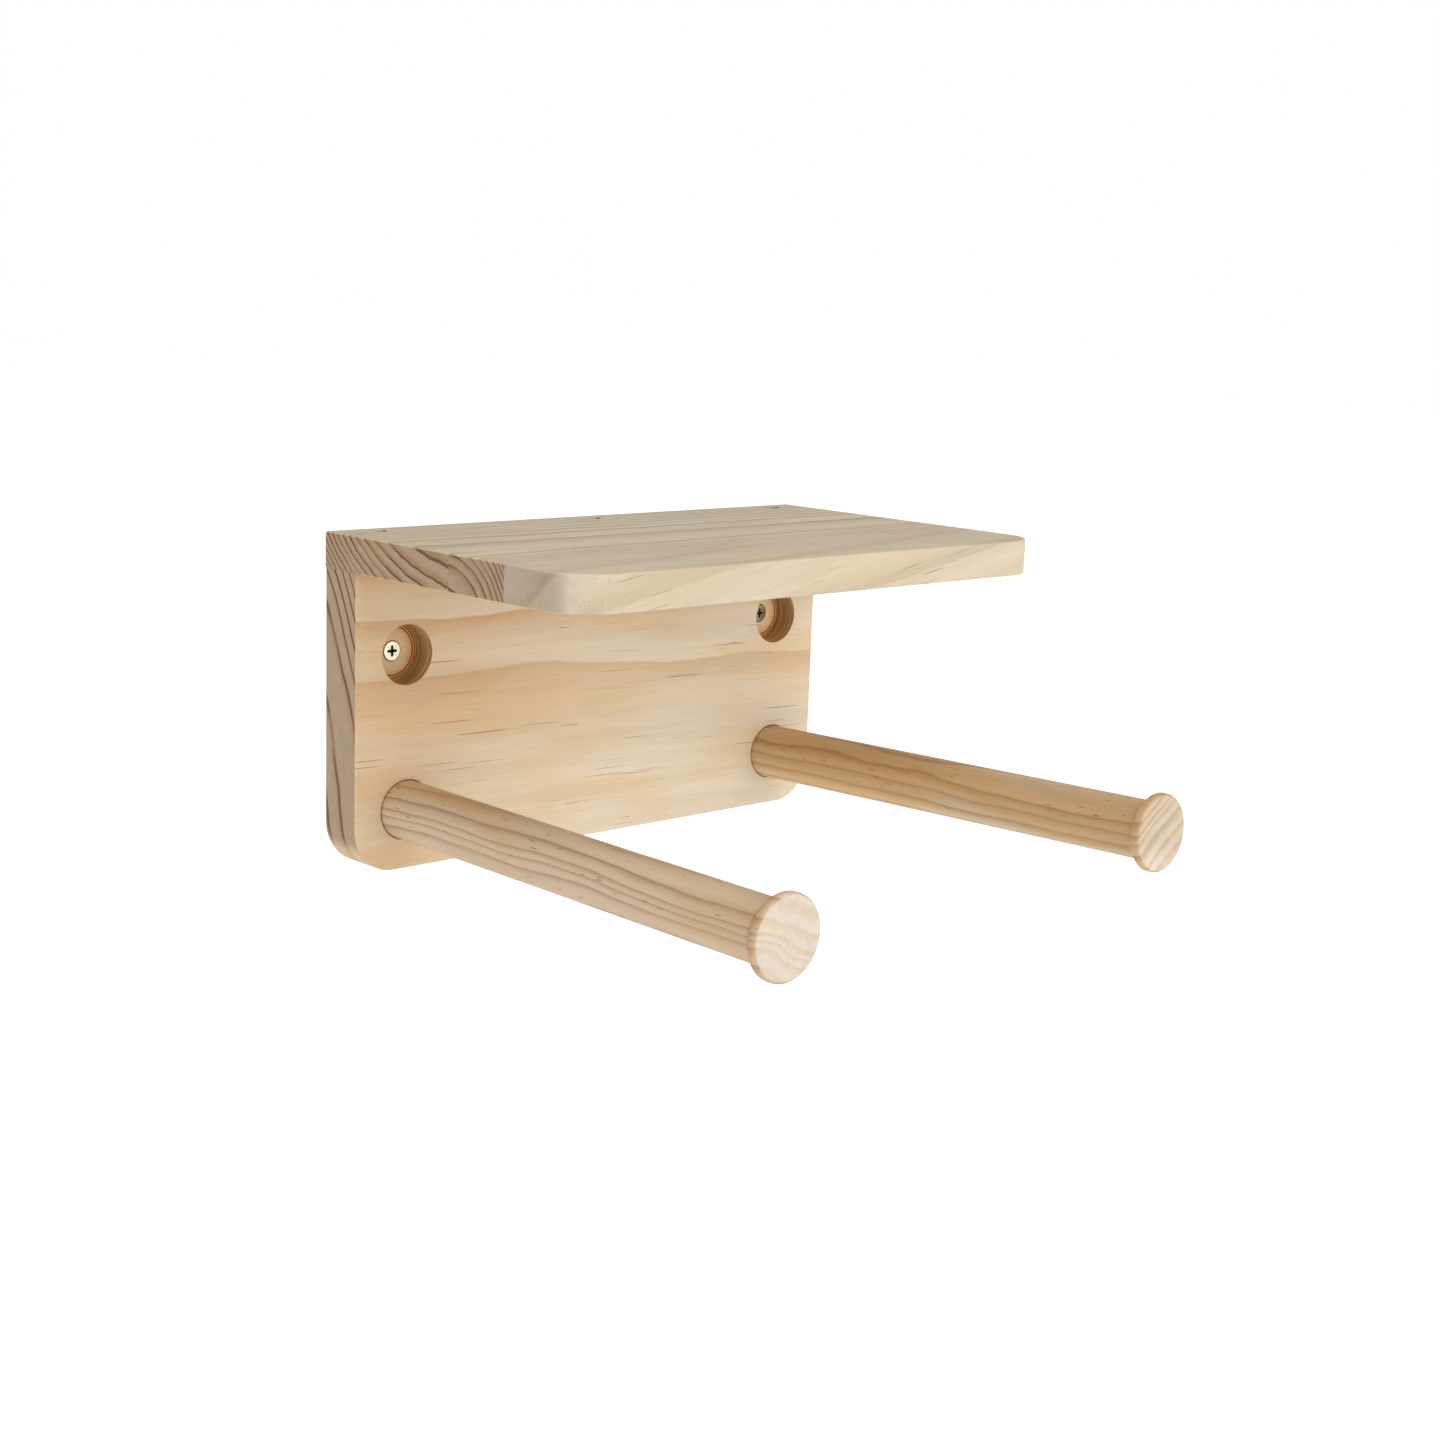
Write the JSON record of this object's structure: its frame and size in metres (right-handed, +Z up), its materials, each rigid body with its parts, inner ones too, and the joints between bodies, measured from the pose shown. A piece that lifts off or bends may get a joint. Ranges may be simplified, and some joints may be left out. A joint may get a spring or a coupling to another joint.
{
  "type": "toilet paper holder",
  "caption": "Wall-hung pine toilet paper holder: a shelf on a thick back board, with turned pegs below it that stand straight out and end in flared knobs.",
  "frame": {"origin": "on the wall face of the back board, midway between the two wall screws", "axes": "+Z up, +Y into the wall, +X to the right of a person who faces the wall; the pegs point along -Y"},
  "size_m": [0.32, 0.3271, 0.17],
  "materials": {
    "pine_back": "sanded pine, no lacquer, warm peach tone",
    "pine_shelf": "sanded pine, no lacquer, fine straight grain",
    "pine_peg": "turned and sanded pine",
    "yellow_zinc": "yellow zinc plated"
  },
  "bodies": {
    "root": {"back_board": "pine_back", "shelf_board": "pine_shelf", "left_peg": "pine_peg", "right_peg": "pine_peg", "wall_screw_left": "yellow_zinc", "wall_screw_right": "yellow_zinc", "shelf_screw_left": "yellow_zinc", "shelf_screw_middle": "yellow_zinc", "shelf_screw_right": "yellow_zinc", "peg_screw_left": "yellow_zinc", "peg_screw_right": "yellow_zinc"}
  },
  "joints": []
}
